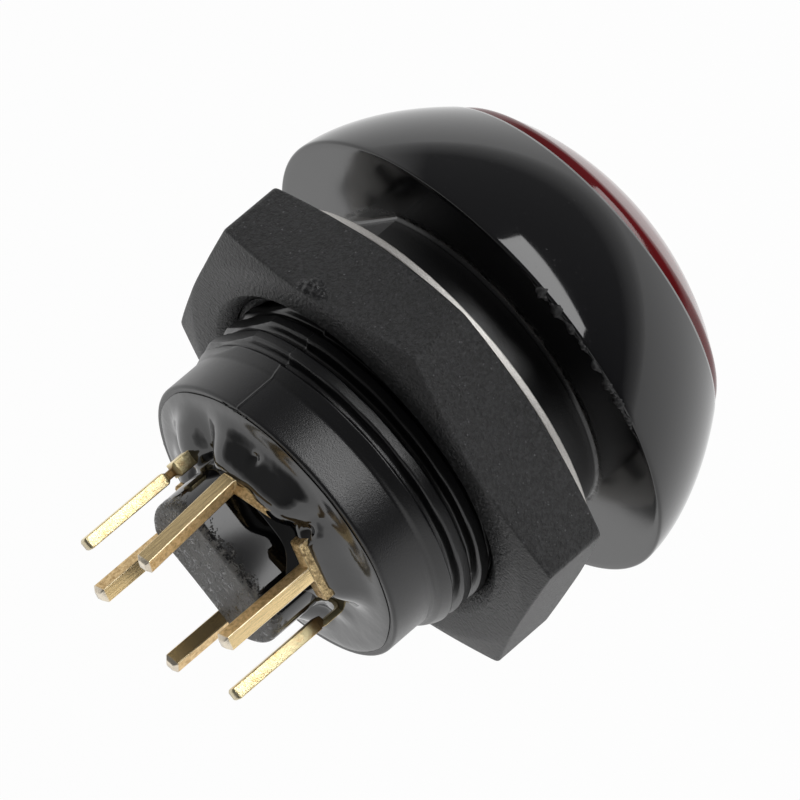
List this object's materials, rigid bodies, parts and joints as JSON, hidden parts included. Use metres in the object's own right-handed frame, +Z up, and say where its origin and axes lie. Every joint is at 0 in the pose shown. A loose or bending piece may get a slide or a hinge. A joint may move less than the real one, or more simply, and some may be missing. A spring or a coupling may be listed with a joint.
{
  "type": "illuminated push button switch",
  "caption": "Sealed panel-mount push button switch: black domed bezel round a lit red lens, threaded bushing with a flat, hex nut, lock washer and solder pins behind.",
  "frame": {"origin": "centre of the panel seat, the flat underside of the dome", "axes": "+Y along the switch's axis towards the terminals, the button faces -Y, +Z up"},
  "size_m": [0.0234, 0.0289, 0.0234],
  "materials": {
    "bezel_black": "gloss moulded black on the dome, satin on the bushing",
    "nut_black": "matte, grainy, glass-filled black",
    "washer_steel": "bare stamped steel, bright",
    "lens_red": "gloss translucent dark red",
    "diffuser_white": "matte white",
    "inner_black": "satin moulded black",
    "base_black": "matte dark grey, rough",
    "seal_rubber": "black rubber",
    "resin_black": "poured gloss black resin",
    "lamp_red": "tinted clear epoxy",
    "lead_gold": "gold flash, rough, tarnished in patches",
    "terminal_gold": "gold plate, polished faces and sheared edges",
    "contact_silver": "silver alloy",
    "bridge_brass": "stamped brass",
    "spring_steel": "drawn steel wire"
  },
  "bodies": {
    "switch_body": {"housing": "bezel_black", "contact_cover": "inner_black", "terminal_base": "base_black", "potting": "resin_black", "led_lamp": "lamp_red", "led_anode_lead": "lead_gold", "led_cathode_lead": "lead_gold", "return_spring": "spring_steel", "contact_spring": "spring_steel", "nc_terminal_1": "terminal_gold", "nc_terminal_2": "terminal_gold", "no_terminal_1": "terminal_gold", "no_terminal_2": "terminal_gold", "nc_contact_1": "contact_silver", "nc_contact_2": "contact_silver", "no_contact_1": "contact_silver", "no_contact_2": "contact_silver"},
    "button": {"lens_cap": "lens_red", "light_diffuser": "diffuser_white", "lens_holder": "inner_black", "plunger": "inner_black", "plunger_seal": "seal_rubber"},
    "bridge": {"contact_bridge": "bridge_brass", "bridge_contact_1": "contact_silver", "bridge_contact_2": "contact_silver"},
    "washer": {"lock_washer": "washer_steel"},
    "nut": {"hex_nut": "nut_black"}
  },
  "joints": [
    {"name": "button_press", "type": "slide", "parent": "switch_body", "child": "button", "axis": [0, 1, 0], "range_m": [0, 0.0016], "stiffness_N_per_m": 1500, "springref_m": -0.001, "deforming": ["return_spring"]},
    {"name": "bridge_slide", "type": "slide", "parent": "switch_body", "child": "bridge", "axis": [0, 1, 0], "range_m": [0, 0.0008], "deforming": ["contact_spring"]},
    {"name": "nut_turn", "type": "hinge", "parent": "washer", "child": "nut", "pos_m": [0, 0, 0], "axis": [0, 1, 0], "range_deg": [0, 1530]},
    {"name": "washer_slide", "type": "slide", "parent": "switch_body", "child": "washer", "axis": [0, 1, 0], "range_m": [0, 0.0045]}
  ],
  "couplings": [
    {"joint": "bridge_slide", "follows": "button_press", "ratio": 0.5},
    {"joint": "nut_turn", "follows": "washer_slide", "rad_per_m": 5936.9}
  ]
}
